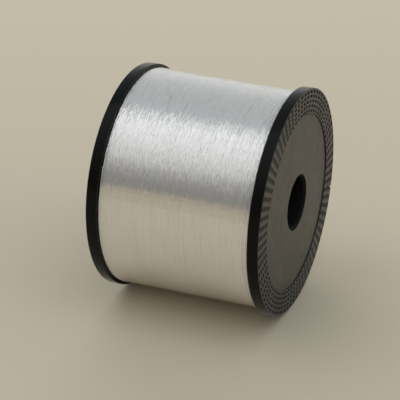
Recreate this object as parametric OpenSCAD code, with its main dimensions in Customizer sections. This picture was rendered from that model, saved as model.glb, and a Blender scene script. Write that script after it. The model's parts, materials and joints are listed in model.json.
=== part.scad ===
// Spool of clear nylon fishing line, lying on its side.
// Two moulded flanges plug into a barrel and into each other, and the line is wound between them.
// The spool turns about the Y axis, and its middle is the origin.

/* [Flanges] */
// Diameter of both flanges
flange_d = 80; // [78:1:90]
// Width over both flanges
spool_w = 62; // [56:1:70]
// Thickness of a flange at its rim
flange_t = 4; // [3.6:0.1:5]
// Radius on the two edges of a flange's rim
rim_edge_r = 0.4; // [0.3:0.1:1]
// Thickness of a flange inside the barrel
web_t = 2.2; // [1.8:0.1:2.6]

/* [Hub and barrel] */
// Diameter of the bore that a spindle goes through
bore_d = 18; // [14:0.5:19]
// Size of the bevel at each mouth of the bore
bore_bevel = 0.6; // [0.3:0.1:0.8]
// Wall thickness of the hub
hub_wall = 3; // [2.8:0.1:4]
// How far one half of the hub plugs into the other
hub_plug_l = 6; // [4:0.5:9]
// Outer diameter of the barrel under the line
barrel_d = 50; // [46:1:54]
// Wall thickness of the barrel
barrel_wall = 2; // [1.6:0.1:2.4]
// How far a flange's collar plugs into the barrel
collar_l = 6; // [4:0.5:9]
// Wall thickness of the collar
collar_wall = 2; // [1.6:0.1:2.4]
// Gap all round where one piece plugs into another
plug_gap = 0.05; // [0.02:0.01:0.1]
// Ribs between the hub and the collar
rib_count = 6; // [3:1:8]
// Thickness of a rib
rib_t = 1.8; // [1.4:0.1:2.2]

/* [End face] */
// Diameter of the recess that holds the label
recess_d = 62.4; // [60:0.2:63]
// Depth of the recess
recess_depth = 0.6; // [0.4:0.1:1]
// Rows of pits in the grip ring round the recess
pit_rows = 5; // [3:1:5]
// Pits in each row
pit_count = 72; // [48:4:80]
// Diameter of a pit
pit_d = 1.1; // [0.8:0.05:1.15]
// Depth of a pit
pit_depth = 0.5; // [0.3:0.1:0.8]
// Outer diameter of a label
label_d = 61.8; // [58:0.2:62]
// Diameter of the hole in a label
label_hole_d = 20; // [19.4:0.2:24]
// Thickness of a label
label_t = 0.25; // [0.15:0.05:0.4]

/* [Line] */
// Diameter of the full winding of line
winding_d = 77.2; // [72:0.2:77.4]
// Radius of the winding's shoulders beside the flanges
shoulder_r = 0.8; // [0.5:0.1:3]
// Diameter of the line itself
line_d = 0.3; // [0.2:0.05:0.4]
// Length of the arc that the end of the line lies over, in degrees
tail_arc = 48; // [20:1:90]
// Width of the tape that starts the line on the barrel
tape_w = 14; // [8:1:20]
// Thickness of that tape
tape_t = 0.15; // [0.1:0.05:0.3]
// Length of the arc that the tape covers, in degrees
tape_arc = 46; // [20:1:90]

/* [Line slit] */
// Place of the slit round the rim, in degrees from +X towards +Z
slit_angle = 197; // [150:1:250]
// Width of the slit that grips the end of the line
slit_w = 0.45; // [0.45:0.05:0.8]
// Depth of the slit below the rim
slit_depth = 2.4; // [1.8:0.1:2.8]
// Width of the slit's mouth at the rim
mouth_w = 2.2; // [1.2:0.1:3]

/* [Hidden] */
$fn = 96;
over = 1;
half_w = spool_w / 2;
inner_y = half_w - flange_t;
floor_y = half_w - recess_depth;
flange_r = flange_d / 2;
bore_r = bore_d / 2;
hub_r = bore_r + hub_wall;
plug_r = bore_r + hub_wall / 2;
barrel_r = barrel_d / 2;
barrel_in_r = barrel_r - barrel_wall;
collar_r = barrel_in_r - plug_gap;
collar_in_r = collar_r - collar_wall;
collar_y = inner_y - collar_l;
recess_r = recess_d / 2;
winding_r = winding_d / 2;
line_r = line_d / 2;
root = 0.5;
rib_end_gap = 1;
pit_pitch = (flange_r - rim_edge_r / 2 - recess_r) / pit_rows;
tail_r = winding_r + line_r;
tail_flange_gap = 1.2;
tail_y = inner_y - line_r - tail_flange_gap;
tail_bend_r = 0.8;
tail_turn = atan(tail_bend_r / tail_r);
kink = 0.02;
tape_angle = 60;

// Turns a shape drawn round the Z axis so that it lies round the Y axis
module round_spool_axis() {
    rotate([-90, 0, 0]) children();
}

// A rectangle between two radii and two heights, for spinning into a ring
module ring_section(r_in, r_out, low, high) {
    translate([r_in, low]) square([r_out - r_in, high - low]);
}

// Section of the flange's rim, with both of its outer edges rounded
module rim_section() {
    ring_section(barrel_in_r, flange_r - rim_edge_r, inner_y, half_w);
    ring_section(barrel_in_r, flange_r, inner_y + rim_edge_r, half_w - rim_edge_r);
    for (y = [inner_y + rim_edge_r, half_w - rim_edge_r]) {
        translate([flange_r - rim_edge_r, y]) circle(rim_edge_r);
    }
}

// The bevel that is cut from the mouth of the bore
module bore_bevel_section() {
    polygon([
        [bore_r - over, floor_y + over],
        [bore_r - over, floor_y - bore_bevel - over],
        [bore_r + bore_bevel + over, floor_y + over]
    ]);
}

// Section of a flange: rim, web, collar and its half of the hub
module flange_section() {
    difference() {
        union() {
            rim_section();
            ring_section(bore_r, barrel_r, floor_y - web_t, floor_y);
            ring_section(bore_r, hub_r, 0, floor_y);
            ring_section(collar_in_r, collar_r, collar_y, floor_y - web_t + root);
        }
        ring_section(0, recess_r, floor_y, half_w + over);
        bore_bevel_section();
    }
}

// Ribs that tie the hub to the collar
module ribs() {
    for (i = [0 : rib_count - 1]) {
        rotate([0, 0, 360 / rib_count * i])
            translate([hub_r - root, -rib_t / 2, collar_y + rib_end_gap])
                cube([collar_in_r - hub_r + 2 * root, rib_t, floor_y - web_t - collar_y - rib_end_gap + root]);
    }
}

// The pits in the grip ring, in rows that line up along the radius
module pits() {
    for (row = [0 : pit_rows - 1], i = [0 : pit_count - 1]) {
        rotate([0, 0, 360 / pit_count * (i + 0.5)])
            translate([recess_r + pit_pitch * (row + 0.5), 0, half_w - pit_depth])
                cylinder(d = pit_d, h = pit_depth + over, $fn = 24);
    }
}

// One flange in the lathe's frame: its outer face is up
module flange() {
    difference() {
        union() {
            rotate_extrude() flange_section();
            ribs();
        }
        pits();
    }
}

// Goes from the lathe's frame to the place of the slit in the rim
module at_slit() {
    rotate([0, 0, -slit_angle]) children();
}

// The narrow slit in the rim and its wide mouth
module line_slit() {
    at_slit() {
        translate([flange_r - slit_depth, -slit_w / 2, inner_y - over])
            cube([slit_depth + over, slit_w, flange_t + 2 * over]);
        translate([0, 0, inner_y - over])
            linear_extrude(flange_t + 2 * over)
                polygon([
                    [flange_r - slit_depth / 2, 0],
                    [flange_r + over, -mouth_w / 2],
                    [flange_r + over, mouth_w / 2]
                ]);
    }
}

// The flange at +Y: its half of the hub is the socket
module right_flange() {
    color([0.09, 0.09, 0.09])
        round_spool_axis()
            difference() {
                flange();
                translate([0, 0, -over]) cylinder(r = plug_r, h = hub_plug_l + over);
                line_slit();
            }
}

// The flange at -Y: its half of the hub has the plug
module left_flange() {
    color([0.09, 0.09, 0.09])
        mirror([0, 1, 0])
            round_spool_axis() {
                flange();
                translate([0, 0, -hub_plug_l + plug_gap])
                    difference() {
                        cylinder(r = plug_r - plug_gap, h = hub_plug_l + root);
                        translate([0, 0, -over]) cylinder(r = bore_r, h = hub_plug_l + root + 2 * over);
                    }
            }
}

// The plain tube that the line is wound on
module barrel() {
    color([0.12, 0.12, 0.12])
        round_spool_axis()
            rotate_extrude() ring_section(barrel_in_r, barrel_r, -inner_y, inner_y);
}

// A blank label in the recess of the end face
module label() {
    rotate_extrude() ring_section(label_hole_d / 2, label_d / 2, floor_y, floor_y + label_t);
}

module right_label() {
    color([0.33, 0.31, 0.28]) round_spool_axis() label();
}

module left_label() {
    color([0.33, 0.31, 0.28]) mirror([0, 1, 0]) round_spool_axis() label();
}

// A strip round part of the barrel
module tape_strip() {
    rotate([0, 0, -tape_angle])
        rotate_extrude(angle = tape_arc) ring_section(barrel_r, barrel_r + tape_t, -tape_w / 2, tape_w / 2);
}

// Tape that holds the inner end of the line on the barrel
module start_tape() {
    color([0.85, 0.82, 0.7, 0.6]) round_spool_axis() tape_strip();
}

// Section of the winding, with rounded shoulders
module winding_section() {
    ring_section(barrel_r, winding_r, -inner_y + shoulder_r, inner_y - shoulder_r);
    ring_section(barrel_r, winding_r - shoulder_r, -inner_y, inner_y);
    for (side = [-1, 1]) {
        translate([winding_r - shoulder_r, side * (inner_y - shoulder_r)]) circle(shoulder_r);
    }
}

// Every turn of the line, wound tight over the tape
module line_winding() {
    color([0.8, 0.81, 0.82])
        round_spool_axis()
            difference() {
                rotate_extrude() winding_section();
                tape_strip();
            }
}

// The outer end of the line: it lies on the winding, bends and goes through the slit
module line_tail() {
    color([0.85, 0.86, 0.87])
        round_spool_axis()
            at_slit()
                mirror([0, 1, 0])
                    rotate([0, 0, -tail_turn]) {
                        rotate([0, 0, -tail_arc])
                            rotate_extrude(angle = tail_arc) translate([tail_r, tail_y]) circle(line_r, $fn = 24);
                        translate([tail_r, 0, tail_y]) sphere(line_r + kink, $fn = 24);
                        translate([tail_r, 0, tail_y + tail_bend_r])
                            rotate([0, 90, 0])
                                rotate_extrude(angle = 90)
                                    translate([tail_bend_r, 0]) circle(line_r, $fn = 24);
                        translate([tail_r, tail_bend_r, tail_y + tail_bend_r]) sphere(line_r + kink, $fn = 24);
                        translate([tail_r, tail_bend_r, tail_y + tail_bend_r])
                            cylinder(r = line_r, h = half_w - tail_y - tail_bend_r, $fn = 24);
                    }
}

right_flange();
left_flange();
barrel();
right_label();
left_label();
start_tape();
line_winding();
line_tail();
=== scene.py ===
"""Looks of the fishing line spool: black flanges, blank labels and clear line wound nearly full."""
import json
import math

import bpy
import numpy as np
from mathutils import Matrix, Vector


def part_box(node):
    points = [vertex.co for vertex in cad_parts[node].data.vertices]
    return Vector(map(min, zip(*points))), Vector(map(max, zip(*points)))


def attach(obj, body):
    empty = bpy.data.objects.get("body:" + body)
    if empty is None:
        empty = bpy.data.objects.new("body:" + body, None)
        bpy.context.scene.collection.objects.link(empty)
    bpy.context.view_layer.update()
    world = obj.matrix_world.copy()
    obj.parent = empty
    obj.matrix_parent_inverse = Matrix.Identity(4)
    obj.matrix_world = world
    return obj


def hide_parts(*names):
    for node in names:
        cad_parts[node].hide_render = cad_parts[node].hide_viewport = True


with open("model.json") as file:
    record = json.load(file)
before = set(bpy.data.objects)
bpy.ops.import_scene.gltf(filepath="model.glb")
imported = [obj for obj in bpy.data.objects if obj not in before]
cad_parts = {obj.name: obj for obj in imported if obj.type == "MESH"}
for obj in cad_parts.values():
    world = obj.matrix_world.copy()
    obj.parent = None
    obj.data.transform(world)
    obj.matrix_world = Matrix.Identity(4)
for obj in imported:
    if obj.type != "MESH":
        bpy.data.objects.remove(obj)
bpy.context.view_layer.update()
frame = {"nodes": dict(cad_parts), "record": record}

MM = 0.001
TAU = 2 * math.pi

# ---------------------------------------------------------------- sizes from the frame
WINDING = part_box("line_winding")[1]
RIGHT_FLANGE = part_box("right_flange")[1]
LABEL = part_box("right_label")
BORE_R = next(m for m in frame["record"]["mounts"] if m["name"] == "bore")["dims"]["r_mm"] * MM
FLANGE_R = RIGHT_FLANGE[0]
END_Y = RIGHT_FLANGE[1]
WALL_Y = WINDING[1]
WINDING_R = WINDING[0]
LABEL_R = LABEL[1][0]
LABEL_HOLE_R = BORE_R + 1 * MM
RECESS_Y = LABEL[0][1]
FLOOR_Z = -FLANGE_R

# ---------------------------------------------------------------- camera
CAM_AZIMUTH, CAM_ELEVATION, CAM_ROLL = 112.35, 27.62, -0.27
CAM_DISTANCE, CAM_RIGHT, CAM_UP = 0.5484, -0.00515, -0.00439
CAM_LENS = 140.1


def make_camera():
    az, el, roll = (math.radians(a) for a in (CAM_AZIMUTH, CAM_ELEVATION, CAM_ROLL))
    back = Vector((math.sin(az) * math.cos(el), -math.cos(az) * math.cos(el), math.sin(el)))
    right = Vector((math.cos(az), math.sin(az), 0))
    up = back.cross(right)
    place = back * CAM_DISTANCE + right * CAM_RIGHT + up * CAM_UP
    rolled_right = right * math.cos(roll) + up * math.sin(roll)
    rolled_up = up * math.cos(roll) - right * math.sin(roll)
    data = bpy.data.cameras.new("camera")
    data.lens, data.sensor_width = CAM_LENS, 36
    camera = bpy.data.objects.new("camera", data)
    bpy.context.scene.collection.objects.link(camera)
    turn = Matrix((rolled_right, rolled_up, back)).transposed().to_4x4()
    camera.matrix_world = Matrix.Translation(place) @ turn
    bpy.context.scene.camera = camera


make_camera()


# ---------------------------------------------------------------- materials
class Shader:
    """A material with one Principled shader, and short calls for the nodes that feed it."""

    def __init__(self, name, **settings):
        self.material = bpy.data.materials.new(name)
        self.material.use_nodes = True
        self.tree = self.material.node_tree
        self.bsdf = self.tree.nodes["Principled BSDF"]
        for key, value in settings.items():
            self.bsdf.inputs[key.replace("_", " ")].default_value = value

    def node(self, kind, inputs=None, **settings):
        made = self.tree.nodes.new("ShaderNode" + kind)
        for key, value in settings.items():
            setattr(made, key, value)
        for key, value in (inputs or {}).items():
            self.feed(made.inputs[key], value)
        return made

    def feed(self, socket, value):
        if isinstance(value, bpy.types.NodeSocket):
            self.tree.links.new(value, socket)
        else:
            socket.default_value = value

    def set(self, key, value):
        self.feed(self.bsdf.inputs[key], value)

    def place(self, scale=(1, 1, 1)):
        """Object coordinates, stretched."""
        where = self.node("TexCoord").outputs["Object"]
        return self.node("Mapping", {"Vector": where, "Scale": scale}).outputs["Vector"]

    def noise(self, scale, detail=3, rough=0.5, at=None):
        made = self.node("TexNoise", {"Scale": scale, "Detail": detail, "Roughness": rough})
        self.feed(made.inputs["Vector"], at or self.place())
        return made.outputs["Fac"]

    def ramp(self, value, *stops):
        """A colour or grey ramp; each stop is (place, colour)."""
        made = self.node("ValToRGB", {"Fac": value})
        elements = made.color_ramp.elements
        while len(elements) < len(stops):
            elements.new(0.5)
        for element, (at, colour) in zip(elements, stops):
            element.position = at
            element.color = (*colour, 1) if isinstance(colour, tuple) else (colour, colour, colour, 1)
        return made.outputs["Color"]

    def math(self, operation, a, b=0.0):
        return self.node("Math", {0: a, 1: b}, operation=operation).outputs[0]

    def bump(self, height, distance, strength):
        inputs = {"Height": height, "Distance": distance, "Strength": strength}
        return self.node("Bump", inputs).outputs["Normal"]

    def along(self, axis):
        """One object coordinate: X, Y or Z."""
        return self.node("SeparateXYZ", {"Vector": self.place()}).outputs[axis]

    def remap(self, value, low, high, to_low, to_high):
        """The value's range from low to high, taken to another range and clamped."""
        limits = {"Value": value, "From Min": low, "From Max": high, "To Min": to_low, "To Max": to_high}
        return self.node("MapRange", limits).outputs["Result"]


def black_plastic():
    """Moulded plastic, rubbed pale in patches where the grip ring stands proud; the pale tops are also a
    painted highlight.
    """
    s = Shader("black_plastic", IOR=1.5, Specular_IOR_Level=0.4)
    cloud = s.noise(90, 4, 0.6)
    base = s.ramp(cloud, (0.3, (0.0050, 0.0052, 0.0050)), (0.7, (0.0085, 0.0086, 0.0082)))
    # Partly rubbed wear and partly a painted highlight: the proud tops of the grip ring are mixed towards
    # pale grey, and the pits keep the darker base.
    depth = s.math("SUBTRACT", END_Y, s.math("ABSOLUTE", s.along("Y")))
    rubbed_and_lit = s.remap(depth, 0.02 * MM, 0.12 * MM, 1.0, 0.0)
    patchy = s.ramp(s.noise(420, 4, 0.6), (0.35, 0.12), (0.65, 0.34))
    wear_and_highlight = s.math("MULTIPLY", rubbed_and_lit, patchy)
    worn_and_highlit = s.node("Mix", {"Factor": wear_and_highlight, 6: base, 7: (0.085, 0.086, 0.08, 1)}, data_type="RGBA")
    s.set("Base Color", worn_and_highlit.outputs[2])
    s.set("Roughness", s.ramp(cloud, (0.3, 0.30), (0.7, 0.42)))
    s.set("Normal", s.bump(s.noise(2600, 2, 0.6), 0.00004, 0.4))
    return s.material


def rim_plastic():
    """The same plastic on the smooth rims, blacker, with a cool sheen at a low angle."""
    s = Shader("rim_plastic", IOR=1.5, Specular_IOR_Level=0.14)
    s.set("Sheen Weight", 0.4)
    s.set("Sheen Roughness", 0.2)
    s.set("Sheen Tint", (0.9, 0.95, 1, 1))
    cloud = s.noise(140, 4, 0.6)
    s.set("Base Color", s.ramp(cloud, (0.3, (0.0020, 0.0021, 0.0017)), (0.7, (0.0036, 0.0036, 0.0029))))
    s.set("Roughness", s.ramp(cloud, (0.3, 0.14), (0.7, 0.22)))
    s.set("Normal", s.bump(s.noise(2200, 2, 0.6), 0.00003, 0.2))
    return s.material


def bore_plastic():
    """The dull black wall of the bore and the bevel at its mouth."""
    s = Shader("bore_plastic", IOR=1.5, Specular_IOR_Level=0.04)
    s.set("Base Color", s.ramp(s.noise(300, 3), (0.3, 0.0085), (0.7, 0.0120)))
    s.set("Roughness", s.ramp(s.noise(900, 2), (0.3, 0.6), (0.7, 0.75)))
    return s.material


def label_film():
    """Blank grey-brown satin film."""
    s = Shader("label_film", IOR=1.5, Specular_IOR_Level=0.55)
    cloud = s.noise(120, 5, 0.6)
    s.set("Base Color", s.ramp(cloud, (0.3, (0.026, 0.0235, 0.0185)), (0.7, (0.033, 0.030, 0.024))))
    s.set("Roughness", s.ramp(s.noise(240, 3), (0.3, 0.34), (0.7, 0.42)))
    s.set("Normal", s.bump(s.noise(3800, 2), 0.00002, 0.3))
    return s.material


def nylon_line():
    """Clear line lying many turns deep: silvery, with fine streaks along the turns that fade low down."""
    s = Shader("nylon_line", IOR=1.53, Metallic=0.9)
    s.set("Coat Weight", 0.25)
    s.set("Coat Roughness", 0.06)
    tint = s.node("Attribute", attribute_name="tint").outputs["Fac"]
    s.set("Base Color", s.ramp(tint, (0.0, (0.875, 0.865, 0.845)), (1.0, (0.935, 0.925, 0.905))))
    s.set("Roughness", s.ramp(tint, (0.0, 0.07), (1.0, 0.11)))
    loose = s.remap(s.along("Z"), 13 * MM, 21 * MM, 0.12, 1.0)
    streaks = s.math("MULTIPLY", s.noise(1, 2, 0.5, s.place((240, 3800, 240))), loose)
    s.set("Normal", s.bump(streaks, 0.00034, 1.0))
    return s.material


def clear_tape():
    """Clear, slightly yellow tape."""
    s = Shader("clear_tape", IOR=1.47)
    s.set("Transmission Weight", 0.8)
    s.set("Base Color", s.ramp(s.noise(400, 3), (0.3, (0.86, 0.83, 0.74)), (0.7, (0.93, 0.91, 0.84))))
    s.set("Roughness", s.ramp(s.noise(900, 2), (0.3, 0.18), (0.7, 0.3)))
    s.set("Normal", s.bump(s.noise(700, 3), 0.00005, 0.5))
    return s.material


BLACK, RIM, BORE = black_plastic(), rim_plastic(), bore_plastic()
LABEL_FILM, NYLON, CLEAR_TAPE = label_film(), nylon_line(), clear_tape()


# ---------------------------------------------------------------- mesh helpers
def add_piece(name, points, faces, material, replaced, sharp_deg, attributes=None):
    """A mesh piece in the row frame that rides with the spool and stands for the replaced CAD nodes."""
    mesh = bpy.data.meshes.new(name)
    mesh.from_pydata([tuple(p) for p in points], [], faces)
    mesh.polygons.foreach_set("use_smooth", [True] * len(mesh.polygons))
    mesh.set_sharp_from_angle(angle=math.radians(sharp_deg))
    for key, values in (attributes or {}).items():
        mesh.attributes.new(key, "FLOAT", "POINT").data.foreach_set("value", values)
    mesh.materials.append(material)
    piece = bpy.data.objects.new(name, mesh)
    bpy.context.scene.collection.objects.link(piece)
    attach(piece, "root")
    if replaced:
        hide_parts(*replaced)
    return piece


def tube(centres, outward, radius, sides):
    """Points and faces of a closed tube along centres; outward is a vector away from the axis at each."""
    centres = np.asarray(centres)
    along = np.gradient(centres, axis=0)
    along /= np.linalg.norm(along, axis=1, keepdims=True)
    across = np.cross(along, outward)
    across /= np.linalg.norm(across, axis=1, keepdims=True)
    up = np.cross(across, along)
    turn = np.arange(sides) * TAU / sides
    ring = centres[:, None] + radius * (
        np.cos(turn)[None, :, None] * up[:, None] + np.sin(turn)[None, :, None] * across[:, None]
    )
    count = len(centres)
    i = np.arange(count - 1)[:, None] * sides
    j = np.arange(sides)[None, :]
    k = (j + 1) % sides
    quads = np.stack([i + j, i + sides + j, i + sides + k, i + k], -1).reshape(-1, 4).tolist()
    caps = [list(range(sides)), list(range((count - 1) * sides, count * sides))[::-1]]
    return ring.reshape(-1, 3), quads + caps


def lathe(section, steps):
    """Points and faces of a closed section [(r, y)] spun round the Y axis."""
    angle = np.arange(steps) * TAU / steps
    r, y = np.asarray(section).T
    points = np.stack([
        np.outer(np.cos(angle), r), np.tile(y, (steps, 1)), np.outer(np.sin(angle), r)
    ], -1).reshape(-1, 3)
    n = len(section)
    faces = []
    for a in range(steps):
        b = (a + 1) % steps
        for i in range(n):
            j = (i + 1) % n
            faces.append((a * n + i, a * n + j, b * n + j, b * n + i))
    return points, faces


# ---------------------------------------------------------------- winding
LINE_R = 0.15 * MM
SHOULDER = 0.4 * MM
LEFT_FULLNESS = 0.5 * MM
SWELLS = ((0.09 * MM, 7.3 * MM, 0.6), (0.05 * MM, 2.9 * MM, 0.0))  # half height, length along y, phase
CORE_DEPTH = 0.42 * MM
CORE_STEPS = 120
END_GAP = 1.6 * LINE_R
STEPS_PER_TURN = 72
SIDES = 5
CLOSE_TURNS = ((0.24 * MM, 0.045 * MM, 0.02 * MM),)  # passes of (pitch, depth, sway)
LOOSE_TURNS = (
    (0.45 * MM, 0.035 * MM, 0.08 * MM), (-0.9 * MM, 0.025 * MM, 0.2 * MM), (1.7 * MM, 0.015 * MM, 0.3 * MM),
    (-2.3 * MM, 0.01 * MM, 0.4 * MM), (3.7 * MM, 0.0, 0.5 * MM), (-4.9 * MM, 0.0, 0.6 * MM),
)


def pack_radius(y):
    """Radius of the winding at y: fuller towards -Y, a little wavy, with a shoulder at each end."""
    edge = np.clip(WALL_Y - np.abs(y), 0, SHOULDER)
    shoulder = SHOULDER - np.sqrt(SHOULDER**2 - (SHOULDER - edge) ** 2)
    swell = sum(height * (1 - np.cos(y / length + phase)) for height, length, phase in SWELLS)
    full = LEFT_FULLNESS * np.clip(-y / WALL_Y, 0, 1) ** 2
    return WINDING_R + full - shoulder - swell


def wind(name, passes, seed):
    """Turns of line laid in passes from flange to flange; a pass with a negative pitch runs towards -Y."""
    rng = np.random.default_rng(seed)
    points, faces, tints = [], [], []
    base = 0
    for pitch, depth, sway in passes:
        travel = 2 * (WALL_Y - END_GAP)
        turns = travel / abs(pitch)
        angle = rng.uniform(0, TAU) + np.linspace(0, TAU * turns, int(turns * STEPS_PER_TURN))
        y = np.linspace(-travel / 2, travel / 2, len(angle)) * np.sign(pitch)
        drift = sum(
            rng.uniform(0.4, 1.0) * sway / f**0.6 * np.sin(f * angle + rng.uniform(0, TAU))
            for f in rng.uniform(0.7, 9.0, 7)
        )
        y = np.clip(y + drift, -travel / 2, travel / 2)
        r = pack_radius(y) - LINE_R - depth
        out = np.stack([np.cos(angle), np.zeros_like(angle), np.sin(angle)], -1)
        centres = out * r[:, None]
        centres[:, 1] = y
        made, quads = tube(centres, out, LINE_R, SIDES)
        points.append(made)
        faces += [[base + v for v in face] for face in quads]
        base += len(made)
        wave = 0.5 + 0.3 * np.sin(angle * 0.37 + rng.uniform(0, TAU)) + rng.uniform(-0.2, 0.2, len(angle))
        tints.append(np.repeat(np.clip(wave, 0, 1), SIDES))
    tint = np.concatenate(tints)
    add_piece(name, np.concatenate(points), faces, NYLON, (), 180, {"tint": tint})


def wind_core():
    """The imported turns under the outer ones, as fine ridges a line apart."""
    count = int(WALL_Y / LINE_R)
    section = []
    for i in range(count):
        middle = -WALL_Y + (i + 0.5) * 2 * WALL_Y / count
        for turn in (-60, -20, 20, 60):
            y = middle + LINE_R * math.sin(math.radians(turn))
            lift = LINE_R * (math.cos(math.radians(turn)) - 1)
            section.append((float(pack_radius(y)) - CORE_DEPTH + lift, y))
    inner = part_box("barrel")[1][0]
    section += [(inner, section[-1][1]), (inner, section[0][1])]
    points, faces = lathe(section[::-1], CORE_STEPS)
    rng = np.random.default_rng(5)
    tint = rng.uniform(0.2, 0.8, len(points))
    add_piece("line_core", points, faces, NYLON, ("line_winding",), 60, {"tint": tint})


wind_core()
wind("line_turns_inner", CLOSE_TURNS, 11)
wind("line_turns_outer", LOOSE_TURNS, 13)


# ---------------------------------------------------------------- end of the line
SLIT_ANGLE = math.radians(197)
TAIL_ARC = math.radians(48)
TAIL_Y = WALL_Y - LINE_R - 1.2 * MM
TAIL_BEND = 0.8 * MM
TAIL_STEP = 0.5 * MM
TAIL_SINK = 0.97  # height of the line's middle over the winding, in line radii


def line_end():
    """The outer end of the line: it lies over the last turns, bends and leaves through the slit."""
    r = float(pack_radius(TAIL_Y)) + TAIL_SINK * LINE_R
    turn = TAIL_BEND / r
    path = [(t, TAIL_Y) for t in np.linspace(SLIT_ANGLE - turn - TAIL_ARC, SLIT_ANGLE - turn, 49)]
    path += [
        (SLIT_ANGLE - turn * (1 - math.sin(t)), TAIL_Y + TAIL_BEND * (1 - math.cos(t)))
        for t in np.radians((15, 30, 45, 60, 75, 90))
    ]
    path += [(SLIT_ANGLE, y) for y in np.linspace(TAIL_Y + TAIL_BEND + TAIL_STEP, END_Y, 6)]
    out = np.array([(math.cos(t), 0, math.sin(t)) for t, y in path])
    centres = out * r
    centres[:, 1] = [y for t, y in path]
    points, faces = tube(centres, out, LINE_R, 12)
    tint = np.linspace(0.2, 0.8, len(points))
    add_piece("line_end", points, faces, NYLON, ("line_tail",), 60, {"tint": tint})


line_end()


# ---------------------------------------------------------------- flanges
GRIP_ROWS, GRIP_CELLS, CELL_STEPS = 5, 72, 4
STEPS = GRIP_CELLS * CELL_STEPS
WALL = 2 * MM
HUB_WALL, PLUG_WALL = 3 * MM, 1.5 * MM
RECESS_R = LABEL_R + 0.3 * MM
EDGE_R = 0.35 * MM
LIP = 0.12 * MM
GRIP_IN, GRIP_OUT = RECESS_R + LIP, FLANGE_R - EDGE_R
BARREL_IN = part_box("barrel")[1][0] - WALL
HUB_R = BORE_R + HUB_WALL
PLUG_R = BORE_R + PLUG_WALL
PLUG_LENGTH, COLLAR_LENGTH, WEB = 6 * MM, 6 * MM, 2.2 * MM
COLLAR_Y = WALL_Y - COLLAR_LENGTH
WEB_Y = RECESS_Y - WEB
BEVEL = 0.6 * MM
HAIR = 0.02 * MM
FILLET = 0.1 * MM
PIT_RINGS = ((0.68, 0.03 * MM), (0.58, 0.16 * MM), (0.5, 0.6 * MM))  # size within its cell, and depth
PIT_LENGTH = 0.92
PIT_ROUNDING = 0.45
RIB_COUNT, RIB_HALF, RIB_ROOT, RIB_GAP = 6, 0.9 * MM, 0.5 * MM, 1 * MM
SLIT_W, SLIT_DEPTH, MOUTH_W, MOUTH_DEPTH = 0.45 * MM, 2.4 * MM, 2.2 * MM, 0.96 * MM
OVER = 1 * MM
NEAR = 0.1 * MM


def arc(centre, radius, start, end, steps):
    """Points [(r, y)] along an arc; the angles are in degrees from +r towards +y."""
    return [
        (centre[0] + radius * math.cos(math.radians(t)), centre[1] + radius * math.sin(math.radians(t)))
        for t in np.linspace(start, end, steps + 1)
    ]


def flange_section(plug):
    """The flange's outline from the grip ring's outer edge, over the rim and the hub, to its inner edge."""
    outline = arc((FLANGE_R - EDGE_R, END_Y - EDGE_R), EDGE_R, 90, 0, 5)
    outline += arc((FLANGE_R - EDGE_R, WALL_Y + EDGE_R), EDGE_R, 0, -90, 5)
    outline += [(BARREL_IN, WALL_Y), (BARREL_IN, COLLAR_Y), (BARREL_IN - WALL, COLLAR_Y)]
    outline += [(BARREL_IN - WALL, WEB_Y), (HUB_R, WEB_Y), (HUB_R, 0)]
    plug_y = -PLUG_LENGTH if plug else PLUG_LENGTH
    outline += [(PLUG_R, 0), (PLUG_R, plug_y), (BORE_R, plug_y)]
    outline += [(BORE_R, RECESS_Y - BEVEL), (BORE_R + BEVEL, RECESS_Y), (LABEL_HOLE_R - HAIR, RECESS_Y)]
    outline += [(RECESS_R - EDGE_R, RECESS_Y), (RECESS_R, RECESS_Y + FILLET)]
    outline += [(RECESS_R, END_Y - LIP), (RECESS_R + LIP / 3, END_Y - LIP / 3), (GRIP_IN, END_Y)]
    return outline


def at_angle(r, t, y, turn):
    """A point at radius r and t to the side of it, after a turn round the spool's axis."""
    return (r * math.cos(turn) - t * math.sin(turn), y, r * math.sin(turn) + t * math.cos(turn))


def grip_ring(points, faces, inner, outer):
    """Joins two circles of points with rows of pits that line up along the radius."""
    def circle(radius, y):
        first = len(points)
        angles = np.arange(STEPS) * TAU / STEPS
        points.extend((radius * math.cos(t), y, radius * math.sin(t)) for t in angles)
        return list(range(first, first + STEPS))

    pitch = (GRIP_OUT - GRIP_IN) / GRIP_ROWS
    circles = [inner] + [circle(GRIP_IN + pitch * row, END_Y) for row in range(1, GRIP_ROWS)] + [outer]
    for row in range(GRIP_ROWS):
        middle_r = GRIP_IN + pitch * (row + 0.5)
        for cell in range(GRIP_CELLS):
            near = [circles[row][(cell * CELL_STEPS + k) % STEPS] for k in range(CELL_STEPS + 1)]
            far = [circles[row + 1][(cell * CELL_STEPS + k) % STEPS] for k in range(CELL_STEPS + 1)]
            border = near + far[::-1]
            middle_a = (cell + 0.5) * TAU / GRIP_CELLS
            rings = []
            for size, depth in PIT_RINGS:
                first = len(points)
                for k in range(len(border)):
                    side = 1 if k > CELL_STEPS else -1
                    along = (k if k <= CELL_STEPS else 2 * CELL_STEPS + 1 - k) / CELL_STEPS * 2 - 1
                    squash = 1 - PIT_ROUNDING * along**4
                    r = middle_r + side * size * squash * pitch / 2
                    a = middle_a + along * size * TAU / GRIP_CELLS / 2 * PIT_LENGTH
                    points.append((r * math.cos(a), END_Y - depth, r * math.sin(a)))
                rings.append(list(range(first, first + len(border))))
            for a_ring, b_ring in zip([border] + rings, rings):
                for k in range(len(border)):
                    n = (k + 1) % len(border)
                    faces.append((a_ring[k], a_ring[n], b_ring[n], b_ring[k]))
            faces.append(tuple(rings[-1]))


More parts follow.
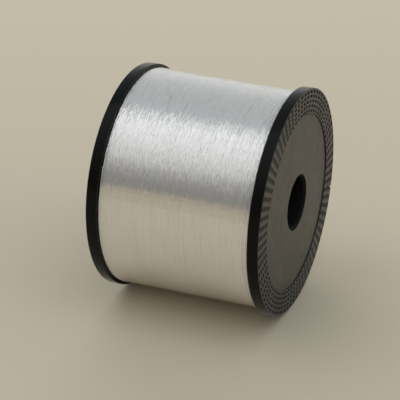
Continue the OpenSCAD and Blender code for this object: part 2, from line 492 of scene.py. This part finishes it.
def add_ribs(points, faces):
    """Ribs that tie the hub to the collar, sunk a little into both."""
    near, far = HUB_R - RIB_ROOT, BARREL_IN - WALL + RIB_ROOT
    corners = ((near, -RIB_HALF), (far, -RIB_HALF), (far, RIB_HALF), (near, RIB_HALF))
    for index in range(RIB_COUNT):
        turn = index * TAU / RIB_COUNT
        first = len(points)
        for y in (COLLAR_Y + RIB_GAP, WEB_Y + RIB_ROOT):
            points += [at_angle(r, t, y, turn) for r, t in corners]
        for quad in ((0, 1, 2, 3), (7, 6, 5, 4), (0, 4, 5, 1), (1, 5, 6, 2), (2, 6, 7, 3), (3, 7, 4, 0)):
            faces.append(tuple(first + k for k in quad))


def cut_slit(piece):
    """Cuts the slit that grips the line's end, with its wide mouth, through the rim."""
    edge = [
        (FLANGE_R - depth, width / 2)
        for depth, width in ((SLIT_DEPTH, SLIT_W), (MOUTH_DEPTH, SLIT_W), (-OVER, MOUTH_W))
    ]
    outline = [(r, -t) for r, t in edge] + edge[::-1]
    points = [at_angle(r, t, y, SLIT_ANGLE) for y in (WALL_Y - OVER, END_Y + OVER) for r, t in outline]
    n = len(outline)
    faces = [tuple(range(n)), tuple(range(n, 2 * n))[::-1]]
    faces += [(k, k + n, (k + 1) % n + n, (k + 1) % n) for k in range(n)]
    mesh = bpy.data.meshes.new("slit_cutter")
    mesh.from_pydata(points, [], faces)
    cutter = bpy.data.objects.new("slit_cutter", mesh)
    bpy.context.scene.collection.objects.link(cutter)
    cut = piece.modifiers.new("slit", "BOOLEAN")
    cut.operation, cut.object, cut.solver = "DIFFERENCE", cutter, "EXACT"
    bpy.context.view_layer.update()
    done = bpy.data.meshes.new_from_object(piece.evaluated_get(bpy.context.evaluated_depsgraph_get()))
    piece.modifiers.clear()
    piece.data = done
    bpy.data.objects.remove(cutter)
    bpy.data.meshes.remove(mesh)


def flange(node, side):
    """A flange with its pitted grip ring; side is 1 at +Y, with the socket, and -1 at -Y, with the plug."""
    section = flange_section(plug=side < 0)
    points, faces = lathe(section, STEPS)
    points = [tuple(p) for p in points]
    n = len(section)
    faces = [face for face in faces if face[0] % n != n - 1]
    inner = [k * n + n - 1 for k in range(STEPS)]
    outer = [k * n for k in range(STEPS)]
    grip_ring(points, faces, inner, outer)
    add_ribs(points, faces)
    if side < 0:
        points = [(x, -y, z) for x, y, z in points]
        faces = [face[::-1] for face in faces]
    piece = add_piece(node.replace("flange", "end"), points, faces, BLACK, (node,), 32)
    if side > 0:
        cut_slit(piece)
    piece.data.materials.append(RIM)
    piece.data.materials.append(BORE)
    # The rim and the inner wall are smooth, and everything inside the label's hole is dull.
    for face in piece.data.polygons:
        middle = face.center
        r = math.hypot(middle.x, middle.z)
        if r < LABEL_HOLE_R:
            face.material_index = 2
        elif r > BARREL_IN and (r > FLANGE_R - NEAR or abs(middle.y) < WALL_Y + NEAR):
            face.material_index = 1


flange("right_flange", 1)
flange("left_flange", -1)


# ---------------------------------------------------------------- CAD nodes that keep their shape
def paint(node, material):
    piece = frame["nodes"][node]
    if not piece.material_slots:
        piece.data.materials.append(material)
    for slot in piece.material_slots:
        slot.material = material


paint("barrel", BLACK)
paint("right_label", LABEL_FILM)
paint("left_label", LABEL_FILM)
paint("start_tape", CLEAR_TAPE)


# ---------------------------------------------------------------- floor and light
FLOOR_HALF = 2.5
FLOOR_COLOUR = (0.695, 0.62, 0.475, 1)
LOW_AIR = (0.41, 0.37, 0.28)
TENT = (  # place from the front horizon (0) over the top to the back one (1), and colour
    (0.046, LOW_AIR), (0.057, (0.18, 0.18, 0.175)), (0.13, (0.27, 0.27, 0.265)), (0.215, (0.47, 0.47, 0.47)),
    (0.30, (0.71, 0.725, 0.73)), (0.42, (0.90, 0.92, 0.935)), (0.525, (1.06, 1.09, 1.12)),
    (0.545, (0.46, 0.485, 0.51)), (0.76, (0.46, 0.48, 0.495)), (0.85, (0.57, 0.59, 0.60)),
    (0.95, (0.76, 0.77, 0.76)),
)
LIGHT_PLACE, LIGHT_AIM = Vector((-0.9, -0.4, 0.45)), Vector((-0.35, -0.15, 0))
LIGHT_SIZE, LIGHT_WATTS, LIGHT_COLOUR = (1.0, 0.6), 2.6, (1, 0.99, 0.96)


def make_floor():
    mesh = bpy.data.meshes.new("floor")
    corners = ((-1, -1), (1, -1), (1, 1), (-1, 1))
    mesh.from_pydata([(x * FLOOR_HALF, y * FLOOR_HALF, FLOOR_Z) for x, y in corners], [], [(0, 1, 2, 3)])
    floor = bpy.data.objects.new("floor", mesh)
    bpy.context.scene.collection.objects.link(floor)
    s = Shader("floor", Roughness=0.9)
    s.set("Base Color", FLOOR_COLOUR)
    mesh.materials.append(s.material)


def make_world():
    """A lit tent round the spool's axis: brightest overhead, dimmer behind, warm low in front and below."""
    world = bpy.data.worlds.new("world")
    world.use_nodes = True
    tree = world.node_tree

    def math_node(operation, first, second):
        made = tree.nodes.new("ShaderNodeMath")
        made.operation = operation
        for socket, value in zip(made.inputs, (first, second)):
            if isinstance(value, bpy.types.NodeSocket):
                tree.links.new(value, socket)
            else:
                socket.default_value = value
        return made.outputs[0]

    split = tree.nodes.new("ShaderNodeSeparateXYZ")
    tree.links.new(tree.nodes.new("ShaderNodeTexCoord").outputs["Generated"], split.inputs[0])
    turn = math_node("ARCTAN2", split.outputs["Z"], split.outputs["X"])
    ramp = tree.nodes.new("ShaderNodeValToRGB")
    while len(ramp.color_ramp.elements) < len(TENT):
        ramp.color_ramp.elements.new(0.5)
    for element, (at, colour) in zip(ramp.color_ramp.elements, TENT):
        element.position, element.color = at, (*colour, 1)
    tree.links.new(math_node("DIVIDE", turn, math.pi), ramp.inputs["Fac"])
    tree.links.new(ramp.outputs["Color"], tree.nodes["Background"].inputs["Color"])
    bpy.context.scene.world = world


def make_back_light():
    """A soft light on the floor behind the spool, kept out of the reflections."""
    data = bpy.data.lights.new("back_light", "AREA")
    data.shape = "RECTANGLE"
    data.size, data.size_y = LIGHT_SIZE
    data.energy, data.color = LIGHT_WATTS, LIGHT_COLOUR
    lamp = bpy.data.objects.new("back_light", data)
    bpy.context.scene.collection.objects.link(lamp)
    lamp.location = LIGHT_PLACE
    lamp.rotation_euler = (LIGHT_AIM - LIGHT_PLACE).to_track_quat("-Z", "Y").to_euler()
    lamp.visible_glossy = False


make_floor()
make_world()
make_back_light()
bpy.context.scene.view_settings.view_transform = "Standard"
